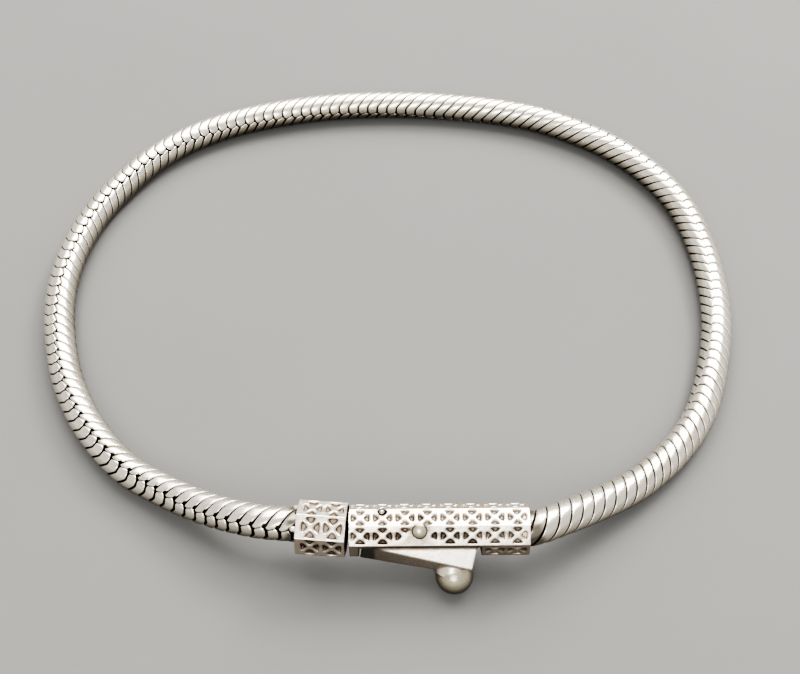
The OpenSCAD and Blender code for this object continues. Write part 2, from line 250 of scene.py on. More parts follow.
def grime_and_shade(points: np.ndarray, others: list[Object], reach: float) -> np.ndarray:
    """Measures the darkening at points close to other pieces: grime in the joints and painted shade in the
    gaps between parts.

    Args:
        points: Points in metres.
        others: The pieces.
        reach: The distance in millimetres from which they count as close.

    Returns:
        The grime and painted shade at each point, from 0 to 1.
    """
    close = np.zeros(len(points))
    for other in others:
        cloud = mesh_points(other.data)
        low, high = cloud.min(axis=0) - reach * MM, cloud.max(axis=0) + reach * MM
        tree = BVHTree.FromPolygons(cloud.tolist(), [tuple(face.vertices) for face in other.data.polygons])
        for number in np.flatnonzero(np.all((points > low) & (points < high), axis=1)):
            distance = tree.find_nearest(points[number], reach * MM)[3]
            if distance is not None:
                close[number] = max(close[number], 1.0 - distance / (reach * MM))
    return smooth_step(GRIME_AND_SHADE_START, GRIME_AND_SHADE_FULL, close)


def smooth_step(low: float, high: float, value: np.ndarray) -> np.ndarray:
    """Returns 0 below low, 1 above high and a smooth rise between them."""
    t = np.clip((value - low) / (high - low), 0.0, 1.0)
    return t * t * (3.0 - 2.0 * t)


def turned(axis: str, degrees: float) -> np.ndarray:
    """Returns the 3 by 3 matrix of a turn about a named axis."""
    return np.array(Matrix.Rotation(math.radians(degrees), 3, axis))


class NodeBuilder:
    """Adds and links nodes in one shader tree with short calls."""

    def __init__(self, tree: NodeTree) -> None:
        """Keeps the tree that the nodes go into."""
        self.tree = tree

    def add(self, kind: str, inputs: dict[int | str, object] | None = None, **settings: object) -> Node:
        """Adds a node, sets the named properties on it and feeds its inputs.

        Args:
            kind: Blender's name of the node type.
            inputs: Sockets or plain values for its inputs, by the inputs' names or numbers.
            settings: Properties of the node and their values.

        Returns:
            The new node.
        """
        node = self.tree.nodes.new(kind)
        for key, value in settings.items():
            setattr(node, key, value)
        for key, value in (inputs or {}).items():
            if isinstance(value, NodeSocket):
                self.link(value, node.inputs[key])
            else:
                node.inputs[key].default_value = value
        return node

    def link(self, source: NodeSocket, target: NodeSocket) -> None:
        """Joins an output socket to an input socket."""
        self.tree.links.new(source, target)

    def place(self) -> NodeSocket:
        """Returns the place on the object, in metres."""
        return self.add("ShaderNodeTexCoord").outputs["Object"]

    def layer(self, name: str) -> NodeSocket:
        """Returns the number that a mesh stores under a name."""
        return self.add("ShaderNodeAttribute", attribute_name=name).outputs["Fac"]

    def maths(self, operation: str, first: object, second: object) -> NodeSocket:
        """Returns the result of a maths operation on two sockets or numbers."""
        return self.add("ShaderNodeMath", {0: first, 1: second}, operation=operation).outputs[0]

    def weighted(self, *parts: tuple[NodeSocket, float]) -> NodeSocket:
        """Adds sockets up, each one times its own number.

        Args:
            parts: The sockets and their numbers.

        Returns:
            The sum's socket.
        """
        total, *others = (self.maths("MULTIPLY", socket, factor) for socket, factor in parts)
        for other in others:
            total = self.maths("ADD", total, other)
        return total

    def ramp(self, value: NodeSocket, low: float, high: float) -> NodeSocket:
        """Returns a smooth rise from 0 where a value is low to 1 where it is high."""
        inputs = {"Value": value, "From Min": low, "From Max": high}
        return self.add("ShaderNodeMapRange", inputs, interpolation_type="SMOOTHSTEP").outputs["Result"]

    def noise(self, vector: NodeSocket, scale: object, detail: float) -> NodeSocket:
        """Returns noise around 0.5 at a place, where its scale per metre is a socket or a number."""
        inputs = {"Vector": vector, "Scale": scale, "Detail": detail}
        return self.add("ShaderNodeTexNoise", inputs).outputs["Fac"]

    def blend(self, factor: object, first: object, second: object) -> NodeSocket:
        """Returns a colour between a first one, where the factor is 0, and a second one."""
        return self.add("ShaderNodeMix", {0: factor, 6: first, 7: second}, data_type="RGBA").outputs[2]


def new_group(name: str, inputs: list[str], outputs: list[str]) -> tuple[NodeBuilder, Node, Node]:
    """Makes an empty shader node group with named number sockets.

    Args:
        name: The group's name.
        inputs: Its inputs.
        outputs: Its outputs.

    Returns:
        A builder for the group's nodes, the node with its inputs and the node with its outputs.
    """
    group = bpy.data.node_groups.new(name, "ShaderNodeTree")
    for side, labels in (("INPUT", inputs), ("OUTPUT", outputs)):
        for label in labels:
            group.interface.new_socket(name=label, in_out=side, socket_type="NodeSocketFloat")
    nodes = NodeBuilder(group)
    return nodes, nodes.add("NodeGroupInput"), nodes.add("NodeGroupOutput")


@dataclass
class SharedEffects:
    """The shader groups that more than one finish uses, each built once. Scales are per metre."""

    stroke_turns: tuple[Pair, ...] = ((0.5, 14.0), (2.2, 9.0))
    stroke_lean: float = 0.4
    stroke_detail: float = 3.0
    stroke_range: Pair = (0.56, 0.66)
    patch_scale: float = 1400.0
    patch_detail: float = 4.0
    breakup: float = 0.35
    broad_detail: float = 5.0
    fine_detail: float = 3.0
    fine_factor: float = 9.0
    cloud_range: Pair = (0.35, 0.68)

    def __post_init__(self) -> None:
        """Builds the groups."""
        self.scratches = self.build_scratches()
        self.tarnish = self.build_tarnish()
        self.cloudiness = self.build_cloudiness()

    def build_scratches(self) -> NodeTree:
        """Builds fine wear scratches that run in two directions.

        Returns:
            A group with Scale in, and Height and Mask out.
        """
        nodes, start, end = new_group("fine_scratches", ["Scale"], ["Height", "Mask"])
        place = nodes.place()
        strokes = []
        for turn, stretch in self.stroke_turns:
            rotation = (turn, self.stroke_lean * turn, turn)
            inputs = {"Vector": place, "Rotation": rotation, "Scale": (1.0, stretch, stretch)}
            mapping = nodes.add("ShaderNodeMapping", inputs)
            texture = nodes.noise(mapping.outputs["Vector"], start.outputs["Scale"], self.stroke_detail)
            strokes.append(nodes.ramp(texture, *self.stroke_range))
        worn = nodes.maths("MAXIMUM", *strokes)
        nodes.link(worn, end.inputs["Mask"])
        nodes.link(nodes.maths("MULTIPLY", worn, -1.0), end.inputs["Height"])
        return nodes.tree

    def build_tarnish(self) -> NodeTree:
        """Builds the dark patina that stays wherever polishing doesn't reach.

        Returns:
            A group with Start and Full depths in, and Mask out.
        """
        nodes, start, end = new_group("recess_patina", ["Start", "Full"], ["Mask"])
        patches = nodes.noise(nodes.place(), self.patch_scale, self.patch_detail)
        spread = nodes.maths("SUBTRACT", start.outputs["Full"], start.outputs["Start"])
        depth = nodes.maths("SUBTRACT", nodes.layer(RELIEF), start.outputs["Start"])
        level = nodes.maths("DIVIDE", depth, spread)
        uneven = nodes.maths("MULTIPLY", nodes.maths("SUBTRACT", patches, 0.5), self.breakup)
        nodes.link(nodes.ramp(nodes.maths("ADD", level, uneven), 0.0, 1.0), end.inputs["Mask"])
        return nodes.tree

    def build_cloudiness(self) -> NodeTree:
        """Builds soft patches of warmer, duller metal left by handling.

        Returns:
            A group with Scale in, and a broad Mask and a Fine one out.
        """
        nodes, start, end = new_group("handling_clouds", ["Scale"], ["Mask", "Fine"])
        place = nodes.place()
        kinds = (("Mask", 1.0, self.broad_detail), ("Fine", self.fine_factor, self.fine_detail))
        for label, factor, detail in kinds:
            scale = nodes.maths("MULTIPLY", start.outputs["Scale"], factor)
            texture = nodes.noise(place, scale, detail)
            nodes.link(nodes.ramp(texture, *self.cloud_range), end.inputs[label])
        return nodes.tree


@dataclass(frozen=True)
class SilverFinish:
    """One silver finish: clean metal, warm patches, scratches, black recesses and painted shade.

    Depths are in millimetres and scales are per metre.
    """

    name: str
    clean: Triple
    warm: Triple
    roughness: float
    dull_roughness: float
    recess_start: float
    recess_full: float
    scratch_scale: float
    scratch_depth: float
    grain_depth: float
    patina: Triple = (0.05, 0.04, 0.03)
    warmth: float = 0.5
    shade_amount: float = 1.0
    shade_warmth: float = 0.9
    darkest: float = 0.12
    cloud_scale: float = 240.0
    scratch_roughness: float = 0.05
    soot_roughness: float = 0.35

    def build(self, effects: SharedEffects) -> Material:
        """Builds the finish's material.

        Args:
            effects: The shared shader groups.

        Returns:
            The new material.
        """
        material = bpy.data.materials.new(self.name)
        material.use_nodes = True
        nodes = NodeBuilder(material.node_tree)
        shader = material.node_tree.nodes["Principled BSDF"]
        shader.inputs["Metallic"].default_value = 1.0
        kind = "ShaderNodeGroup"
        depths = {"Start": self.recess_start, "Full": self.recess_full}
        clouds = nodes.add(kind, {"Scale": self.cloud_scale}, node_tree=effects.cloudiness)
        wear = nodes.add(kind, {"Scale": self.scratch_scale}, node_tree=effects.scratches)
        recess = nodes.add(kind, depths, node_tree=effects.tarnish)
        shade = nodes.layer(SHADE)
        # The piece_shade layer, painted shade with some random tone, warms the metal and darkens it
        # towards the darkest tone.
        warm_mask = nodes.weighted((clouds.outputs["Mask"], self.warmth), (shade, self.shade_warmth))
        metal = nodes.blend(warm_mask, (*self.clean, 1.0), (*self.warm, 1.0))
        darker = tuple(c * self.darkest for c in self.warm)
        shaded = nodes.blend(nodes.maths("MULTIPLY", shade, self.shade_amount), metal, (*darker, 1.0))
        colour = nodes.blend(recess.outputs["Mask"], shaded, (*self.patina, 1.0))
        nodes.link(colour, shader.inputs["Base Color"])
        rougher = nodes.weighted(
            (clouds.outputs["Fine"], self.dull_roughness - self.roughness),
            (wear.outputs["Mask"], self.scratch_roughness),
            (recess.outputs["Mask"], self.soot_roughness),
        )
        nodes.link(nodes.maths("ADD", rougher, self.roughness), shader.inputs["Roughness"])
        height = nodes.weighted(
            (wear.outputs["Height"], self.scratch_depth), (clouds.outputs["Fine"], self.grain_depth)
        )
        bump = nodes.add("ShaderNodeBump", {"Strength": 1.0, "Distance": MM, "Height": height})
        nodes.link(bump.outputs["Normal"], shader.inputs["Normal"])
        return material


CHAIN_FINISH = SilverFinish(
    name="polished_chain_silver",
    clean=(0.93, 0.88, 0.785),
    warm=(0.85, 0.77, 0.63),
    patina=(0.035, 0.028, 0.022),
    roughness=0.22,
    dull_roughness=0.27,
    recess_start=0.05,
    recess_full=0.16,
    scratch_scale=900.0,
    scratch_depth=0.0010,
    grain_depth=0.0012,
    shade_amount=0.9,
)
CAST_FINISH = SilverFinish(
    name="cast_lattice_silver",
    clean=(0.92, 0.87, 0.79),
    warm=(0.86, 0.72, 0.58),
    patina=(0.075, 0.050, 0.034),
    roughness=0.27,
    dull_roughness=0.36,
    warmth=0.6,
    recess_start=0.14,
    recess_full=0.45,
    scratch_scale=700.0,
    scratch_depth=0.002,
    grain_depth=0.006,
)
LEVER_FINISH = SilverFinish(
    name="polished_lever_silver",
    clean=(0.93, 0.885, 0.80),
    warm=(0.86, 0.72, 0.58),
    roughness=0.22,
    dull_roughness=0.30,
    recess_start=0.5,
    recess_full=1.0,
    scratch_scale=500.0,
    scratch_depth=0.0014,
    grain_depth=0.0025,
)
PIN_FINISH = SilverFinish(
    name="pale_satin_silver",
    clean=(0.88, 0.82, 0.67),
    warm=(0.78, 0.70, 0.53),
    roughness=0.26,
    dull_roughness=0.38,
    recess_start=0.08,
    recess_full=0.2,
    scratch_scale=700.0,
    scratch_depth=0.002,
    grain_depth=0.003,
)


@dataclass
class ChainRoute:
    """The centre line of the chain as a smooth curve that is read by its length."""

    steps: int = 6
    heading_step: float = 0.4
    rows: np.ndarray = field(init=False)
    along: np.ndarray = field(init=False)

    def __post_init__(self) -> None:
        """Works out the curve's fine rows and their lengths."""
        table = np.array(ROUTE, float)
        last = len(table) - 1
        fine = []
        for i in range(last):
            a, b, c, d = (table[min(max(k, 0), last)] for k in (i - 1, i, i + 1, i + 2))
            for k in range(self.steps):
                t = k / self.steps
                square = (2 * a - 5 * b + 4 * c - d) * t**2
                cube = (3 * b - a - 3 * c + d) * t**3
                fine.append(0.5 * (2 * b + (c - a) * t + square + cube))
        fine.append(table[last])
        self.rows = np.array(fine)
        lengths = np.linalg.norm(np.diff(self.rows[:, :3], axis=0), axis=1)
        self.along = np.concatenate([[0.0], np.cumsum(lengths)])

    @property
    def length(self) -> float:
        """The curve's whole length in millimetres."""
        return float(self.along[-1])

    def column(self, which: Column, along: np.ndarray) -> np.ndarray:
        """Returns one column of the table at places along the curve."""
        return np.interp(along, self.along, self.rows[:, which.value])

    def centre(self, along: np.ndarray) -> np.ndarray:
        """Returns points of the centre line."""
        return np.stack([self.column(c, along) for c in (Column.X, Column.Y, Column.Z)], -1)

    def surface(self, along: np.ndarray, angle: np.ndarray, radius: np.ndarray) -> np.ndarray:
        """Returns points round the centre line.

        Args:
            along: Places along the curve, in millimetres.
            angle: Angles round it, in degrees: 0 faces out of the loop and 90 faces up.
            radius: Distances from it, in millimetres.

        Returns:
            The points in millimetres, with one more axis than the arguments.
        """
        heading = self.centre(along + self.heading_step) - self.centre(along - self.heading_step)
        heading /= np.linalg.norm(heading, axis=-1, keepdims=True)
        outward = np.cross(np.array([0.0, 0.0, 1.0]), heading)
        outward /= np.linalg.norm(outward, axis=-1, keepdims=True)
        upward = np.cross(heading, outward)
        turn = np.radians(angle)[..., None]
        offset = np.cos(turn) * outward + np.sin(turn) * upward
        return self.centre(along) + np.asarray(radius)[..., None] * offset


@dataclass
class SnakeChain:
    """The chain's rolled bands: strips with rounded edges and a zigzag seam, in two pieces that meet."""

    route: ChainRoute = field(default_factory=ChainRoute)
    diameter: float = 3.0
    pitch: float = 1.11
    turns: int = 4
    seam_step: float = 0.22
    crease_step: float = 0.14
    line_turns: tuple[float, ...] = (-30.0, 0.0, 32.0, 150.0, 157.0, 182.0, 360.0, 390.0)
    way_start: float = -20.0
    way_end: float = 380.0
    way_rounding: float = 9.0
    crease_turn: float = 153.5
    crease_reach: float = 9.0
    end_room: float = 0.7
    end_inset: float = 0.4
    end_bands: int = 3
    min_width: float = 0.2
    depth: float = 0.42
    tilt: float = 0.032
    seam_height: float = 13.0
    seam_peak: float = 0.22
    seam_fade: float = 28.0
    seam_thin: float = 1.6
    seam_wide: float = 13.5
    corner_start: float = 0.06
    corner_end: float = 0.26
    end_len: float = 9.0
    end_narrow: float = 0.80
    core_drop: float = 0.36
    core_sides: int = 20
    core_step: float = 1.1
    lit_above: float = 0.72
    shade_full_below: float = -0.25
    under_cap: float = 3.7
    under_barrel: float = 3.5
    hidden_range: Pair = (-0.35, 0.1)
    band_dulling: float = 0.10
    underside_painted_shade: float = 0.95
    mouth_painted_shade: float = 0.8
    seed: int = 7

    def __post_init__(self) -> None:
        """Works out where the lines between the bands start, and how they run round the chain."""
        self.radius = self.diameter / 2
        self.climb = self.turns * self.pitch + self.seam_step
        half = self.turns * self.pitch / 2
        self.count = math.floor((self.route.length - self.climb - self.end_room) / self.pitch)
        start = (self.route.length - self.climb - self.count * self.pitch) / 2
        even = start + self.pitch * np.arange(self.count + 1)
        drift = np.array(BAND_DRIFT, float)
        self.lines = even + np.interp(even, drift[:, 0], drift[:, 1])
        extra = self.pitch * np.arange(1, self.end_bands + 1)
        self.lines = np.concatenate([self.lines[0] - extra[::-1], self.lines, self.lines[-1] + extra])
        self.half = round(self.count / 2) + self.end_bands
        steep_start, steep_end, beyond = self.line_turns[-3:]
        slope = (self.climb - half) / (steep_end - steep_start)
        last = self.climb + (beyond - steep_end) * slope
        lengths = (0.0, 0.0, 0.0, half + self.crease_step, half, half, self.climb, last)
        self.way_turns = np.arange(self.way_start, self.way_end + 1)
        raw = np.interp(self.way_turns, self.line_turns, lengths)
        offsets = np.arange(-self.way_rounding, self.way_rounding + 1)
        weights = np.exp(-2.0 * (offsets / self.way_rounding) ** 2)
        shifted = [np.interp(self.way_turns + offset, self.way_turns, raw) for offset in offsets]
        soft = np.tensordot(weights / weights.sum(), np.array(shifted), axes=1)
        near_crease = np.exp(-(((self.way_turns - self.crease_turn) / self.crease_reach) ** 4))
        self.way_lengths = soft * (1.0 - near_crease) + raw * near_crease

    def way(self, turn: np.ndarray) -> np.ndarray:
        """Returns the length climbed along the chain by a line, at turns in degrees from the seam."""
        return np.interp(turn, self.way_turns, self.way_lengths)

    def gap(self, along: np.ndarray, angle: np.ndarray) -> np.ndarray:
        """Returns the clear gap between two bands.

        Args:
            along: Places along the chain, in millimetres.
            angle: The angles round the chain at those places, in degrees.

        Returns:
            The gaps in millimetres.
        """
        table = np.array(GAPS, float)
        places, widths = table[:, 0], table[:, 1:]
        turned_angle = (angle - ANGLE_WRAP) % 360.0 + ANGLE_WRAP
        column = np.interp(turned_angle, GAP_ANGLES, np.arange(len(GAP_ANGLES)))
        low = np.minimum(column.astype(int), len(GAP_ANGLES) - 2)
        part = column - low
        by_column = np.stack([np.interp(along, places, widths[:, c]) for c in range(len(GAP_ANGLES))])
        picks = np.arange(len(along))
        return by_column[low, picks] * (1 - part) + by_column[low + 1, picks] * part

    def seam(self, along: np.ndarray) -> tuple[np.ndarray, np.ndarray]:
        """Measures the seam where the bands' ends meet.

        Args:
            along: Places along the chain, in millimetres.

        Returns:
            The seam's zigzag and its gap at those places, both in degrees.
        """
        number = np.interp(along, self.lines, np.arange(len(self.lines)))
        share = number % 1.0
        rise = share / self.seam_peak
        fall = (1.0 - share) / (1.0 - self.seam_peak)
        zigzag = self.seam_height * (np.minimum(rise, fall) - 0.5)
        to_corner = np.abs((share - 0.5 * self.seam_peak + 0.5) % 1.0 - 0.5)
        corner = 1.0 - smooth_step(self.corner_start, self.corner_end, to_corner)
        places, shares = zip(*CORNER_SHARES)
        opening = corner * np.interp(along, places, shares)
        return zigzag, self.seam_thin + (self.seam_wide - self.seam_thin) * opening

    def stations(self) -> tuple[np.ndarray, np.ndarray]:
        """Lists the stations round a band.

        Returns:
            Their turns in degrees, and the drops of the band's rounded ends in millimetres.
        """
        turns = np.array([0, 0, 0.4, 1.6, 3.4, 5.5, 8.0, 11.0, 14.5, 18.5, 23.0, 28.0, 33.0, 39.0, 45.0])
        drops = np.array([1.0, 0.40, 0.17, 0.080, 0.038, 0.018, 0.007, 0.002, 0, 0, 0, 0, 0, 0, 0])
        crease = (147.0, 150.0, 152.5, 155.0, 157.5, 161.0, 166.0)
        middle = np.concatenate([np.arange(52.0, 144.0, 7.5), crease, np.arange(173.0, 312.0, 7.6)])
        turns = np.concatenate([turns, middle, 360.0 - turns[::-1]])
        drops = np.concatenate([drops, np.zeros(len(middle)), drops[::-1]])
        return turns, drops * self.depth

    def section(self) -> tuple[np.ndarray, np.ndarray]:
        """Lists the corners of a band's section.

        Returns:
            Their places across the band from -1 to 1, and their drops below the surface in millimetres.
        """
        across = np.array([0.0, 0.45, 0.8, 0.92, 0.975, 1.0, 1.0, 0.92])
        drop = np.array([0.0, 0.009, 0.035, 0.075, 0.15, 0.32, 0.8, 1.0])
        both_across = np.concatenate([-across[:0:-1], across])
        both_drop = np.concatenate([drop[:0:-1], drop])
        return both_across, both_drop * self.depth

    def turn_range(self, low: float, high: float) -> Pair:
        """Returns the turns between which a band lies on the chain, clear of the chain's two ends.

        Args:
            low: Where its lower line starts.
            high: Where its upper line starts.

        Returns:
            The first and last turn in degrees.
        """
        turns = np.arange(0.0, 361.0)
        climbed = self.way(turns)
        room = self.end_inset + self.min_width
        kept = turns[(high + climbed > room) & (low + climbed < self.route.length - room)]
        return float(kept[0]), float(kept[-1])

    def band(self, low: float, high: float, shade: float, lean: float) -> tuple[np.ndarray, ...]:
        """Makes one band between two lines, cut short where the chain ends.

        Args:
            low: Where its lower line starts.
            high: Where its upper line starts.
            shade: How dull the whole band is, from 0 to 1.
            lean: How far its upper side stands above its lower side, in millimetres.

        Returns:
            Points for each station and section corner, their depths, and their shades.
        """
        base, end_drop = self.stations()
        first_turn, last_turn = self.turn_range(low, high)
        base = first_turn + base * (last_turn - first_turn) / 360.0
        climbed = self.way(base)
        sides = []
        for start, sign in ((low, 1.0), (high, -1.0)):
            line = start + climbed
            half_gap = self.gap(line, self.route.column(Column.SEAM, line) - base) / 2
            side = line + sign * half_gap
            sides.append(np.clip(side, self.end_inset, self.route.length - self.end_inset))
        nearest = np.minimum(base, 360.0 - base)
        closing = np.clip(1.0 - nearest / self.end_len, 0.0, 1.0)
        narrow = self.end_narrow + (1.0 - self.end_narrow) * np.sqrt(1.0 - closing**2)
        across, drop = self.section()
        middle = (sides[0] + sides[1])[:, None] / 2
        along = middle + (sides[1] - sides[0])[:, None] / 2 * narrow[:, None] * across[None, :]
        zigzag, seam_gap = self.seam(along)
        from_start = 1.0 - smooth_step(0.0, self.seam_fade, base)[:, None]
        from_end = 1.0 - smooth_step(0.0, self.seam_fade, 360.0 - base)[:, None]
        turn = base[:, None] - zigzag * (from_start + from_end) + seam_gap / 2 * (from_start - from_end)
        angle = self.route.column(Column.SEAM, along) - turn
        depth = np.minimum(drop[None, :] + end_drop[:, None], self.depth)
        leaning = (lean * across[None, :] - abs(lean)) / 2
        points = self.route.surface(along, angle, self.radius - depth + leaning)
        return points, depth, self.shade(along, angle, shade)

    def shade(self, along: np.ndarray, angle: np.ndarray, band: float) -> np.ndarray:
        """Returns how much darker the metal is painted: each band's tone differs a little at random, and
        painted shade falls on the underside and where the chain goes into the cap and the barrel.

        Args:
            along: Places along the chain, in millimetres.
            angle: The angles round the chain at those places, in degrees.
            band: The band's own dullness, from 0 to 1.

        Returns:
            The darkening, from 0 to 1.
        """
        # Painted shade: darker as the surface turns to face down, and at the mouths of the cap and the
        # barrel.
        below = smooth_step(self.lit_above, self.shade_full_below, np.sin(np.radians(angle)))
        inside = np.maximum(self.under_cap - along, along - (self.route.length - self.under_barrel))
        hidden = smooth_step(*self.hidden_range, inside)
        darkening = self.band_dulling * band + self.underside_painted_shade * below + self.mouth_painted_shade * hidden
        return np.clip(darkening, 0.0, 1.0)

    def strip_faces(self, offset: int, stations: int, corners: int) -> list[tuple[int, ...]]:
        """Lists the faces of one closed strip or tube.

        Args:
            offset: The number of its first point.
            stations: How many stations it has along its length.
            corners: How many points each station has.

        Returns:
            The faces as tuples of point numbers.
        """
        faces = []
        for station in range(stations - 1):
            row = offset + station * corners
            for corner in range(corners):
                after = (corner + 1) % corners
                faces.append((row + corner, row + corners + corner, row + corners + after, row + after))
        faces.append(tuple(offset + c for c in range(corners)))
        end = offset + (stations - 1) * corners
        faces.append(tuple(end + c for c in reversed(range(corners))))
        return faces

    def build_bands(self, name: str, bands: list[Pair]) -> Object:
        """Joins a run of bands into one piece.

        Args:
            name: The piece's name.
            bands: The lines that each band lies between.

        Returns:
            The new object.
        """
        random = np.random.default_rng(self.seed)
        points, depths, shades, faces = [], [], [], []
        stations = len(self.stations()[0])
        corners = len(self.section()[0])
        for low, high in bands:
            shade = float(random.random())
            lean = float(random.uniform(-self.tilt, self.tilt))
            band_points, band_depth, band_shade = self.band(low, high, shade, lean)
            faces += self.strip_faces(len(points) * stations * corners, stations, corners)
            points.append(band_points.reshape(-1, 3))
            depths.append(band_depth.ravel())
            shades.append(band_shade.ravel())
        layers = {RELIEF: np.concatenate(depths), SHADE: np.concatenate(shades)}
        return make_object(name, np.concatenate(points) * MM, faces, layers)

    def build_core(self, name: str, start: float, end: float) -> Object:
        """Makes the near-black tube that backs the gaps between the bands, as painted shade inside the
        chain.

        Args:
            name: The piece's name.
            start: Where along the chain it starts.
            end: Where it ends.

        Returns:
            The new object.
        """
        places = np.linspace(start, end, int((end - start) / self.core_step))
        angles = -np.arange(self.core_sides) * 360 / self.core_sides
        along, angle = np.meshgrid(places, angles, indexing="ij")
        points = self.route.surface(along, angle, np.full(along.shape, self.radius - self.core_drop))
        faces = self.strip_faces(0, len(places), self.core_sides)
        # Its depth gives it the full patina, so it shows as painted shade behind the gaps.
        depth = np.full(along.size, self.core_drop)
        return make_object(name, points.reshape(-1, 3) * MM, faces, {RELIEF: depth, SHADE: depth * 0})

    def build(self, finish: Material) -> list[Object]:
        """Builds both halves of the chain with their cores and dresses them.

        Args:
            finish: The chain's material.

        Returns:
            The new objects.
        """
        lines = [float(line) for line in self.lines]
        bands = list(zip(lines[:-1], lines[1:]))
        middle = lines[self.half] + self.climb / 2
        ends = (self.end_inset, self.route.length - self.end_inset)
        left = ("left", bands[: self.half], ends[0], middle)
        right = ("right", bands[self.half :], middle, ends[1])
        made = []
        for side, run, start, end in (left, right):
            node = "chain_" + side
            strips = self.build_bands(node + "_bands", run)
            for obj in (strips, self.build_core(node + "_core", start, end)):
                obj.data.materials.append(finish)
                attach(obj, Body.BRACELET.value)
                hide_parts(node)
                made.append(obj)
        return made


@dataclass(frozen=True)
class ClaspPiece:
    """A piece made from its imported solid, with edges softened as in casting and polishing."""

    node: str
    name: str
    body: Body
    slot: str
    voxel: float
    smoothing: int
    keep: float
    strength: float = 0.5

    def soften(self, carve: Callable[[Mesh], None] | None) -> Object:
        """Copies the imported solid, carves its relief further and rounds all its edges.

        Args:
            carve: Reshapes the mesh before its edges are rounded, if anything does.

        Returns:
            The new object.
        """
        obj = add_object(self.name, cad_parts[self.node].data.copy())
        shape = obj.modifiers.new("shape", "REMESH")
        shape.mode = "VOXEL"
        shape.voxel_size = self.voxel * MM
        self.apply_modifiers(obj)
        if carve is not None:
            carve(obj.data)
        soft = obj.modifiers.new("soft", "SMOOTH")
        soft.iterations = self.smoothing
        soft.factor = self.strength
        if self.keep < 1.0:
            obj.modifiers.new("fewer", "DECIMATE").ratio = self.keep
        self.apply_modifiers(obj)
        obj.data.polygons.foreach_set("use_smooth", [True] * len(obj.data.polygons))
        return obj

    def apply_modifiers(self, obj: Object) -> None:
        """Turns an object's modifiers into its mesh.

        Args:
            obj: The object.
        """
        graph = bpy.context.evaluated_depsgraph_get()
        done = bpy.data.meshes.new_from_object(obj.evaluated_get(graph), depsgraph=graph)
        obj.modifiers.clear()
        obj.data = done

    def place(self, obj: Object, finish: Material) -> None:
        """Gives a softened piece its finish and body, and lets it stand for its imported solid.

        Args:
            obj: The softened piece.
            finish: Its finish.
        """
        obj.data.materials.clear()
        obj.data.materials.append(finish)
        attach(obj, self.body.value)
        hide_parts(self.node)


# The last three numbers of each piece are its finest detail in millimetres, the rounds of smoothing
# and the share of its faces that is kept.
CLASP_PIECES = (
    ClaspPiece("barrel", "barrel_cast", Body.BRACELET, "cast_silver", 0.045, 4, 0.4),
    ClaspPiece("end_cap", "end_cap_cast", Body.BRACELET, "cast_silver", 0.045, 4, 0.6),
    ClaspPiece("lever", "lever_polished", Body.LEVER, "lever_silver", 0.05, 6, 1.0),
    ClaspPiece("rivet", "rivet_heads", Body.BRACELET, "pin_silver", 0.03, 3, 0.7),
    ClaspPiece("guide_pin", "guide_pin_heads", Body.BRACELET, "pin_silver", 0.015, 3, 0.7),
)


@dataclass(frozen=True)
class Prism:
    """A many-sided prism that a cast piece's facets lie on, and the relief cut into them."""

    start: Triple
    turn: np.ndarray
    sides: int
    flat: float
    pit_top: float = 0.10
    pit_floor: float = 0.20
    bowl_depth: float = 0.28
    bowl_low: float = 0.07
    bowl_high: float = 0.40
    bowl_edge: float = 0.01
    bowl_rounds: int = 60
    level_above: float = 0.7

    def measure(self, points: np.ndarray) -> tuple[np.ndarray, np.ndarray]:
        """Measures points against the nearest facet.

        Args:
            points: Points in millimetres.

        Returns:
            How far each lies below the facet, in millimetres, and the facet's outward normal.
        """
        local = (points - np.array(self.start)) @ self.turn
        angles = np.arange(self.sides) * 2 * math.pi / self.sides
        normals = np.stack([np.zeros(self.sides), -np.sin(angles), np.cos(angles)], -1)
        heights = local @ normals.T
        nearest = heights.argmax(axis=1)
        return self.flat - heights.max(axis=1), (normals @ self.turn.T)[nearest]

    def carve(self, mesh: Mesh) -> None:
        """Turns sharp pits into soft bowls between rounded bars.

        Args:
            mesh: The mesh that has the pits.
        """
        points = mesh_points(mesh) / MM
        depth, normal = self.measure(points)
        level = (mesh_normals(mesh) * normal).sum(axis=1) > self.level_above
        floor = ((depth > self.pit_top) & (depth < self.pit_floor) & level).astype(float)
        inside = spread_out(mesh, floor, self.bowl_rounds)
        bowl = self.bowl_depth * smooth_step(self.bowl_low, self.bowl_high, inside)
        moved = np.where((depth < self.pit_floor) & (inside > self.bowl_edge), bowl - depth, 0.0)
        mesh.vertices.foreach_set("co", ((points - moved[:, None] * normal) * MM).ravel())
        mesh.update()


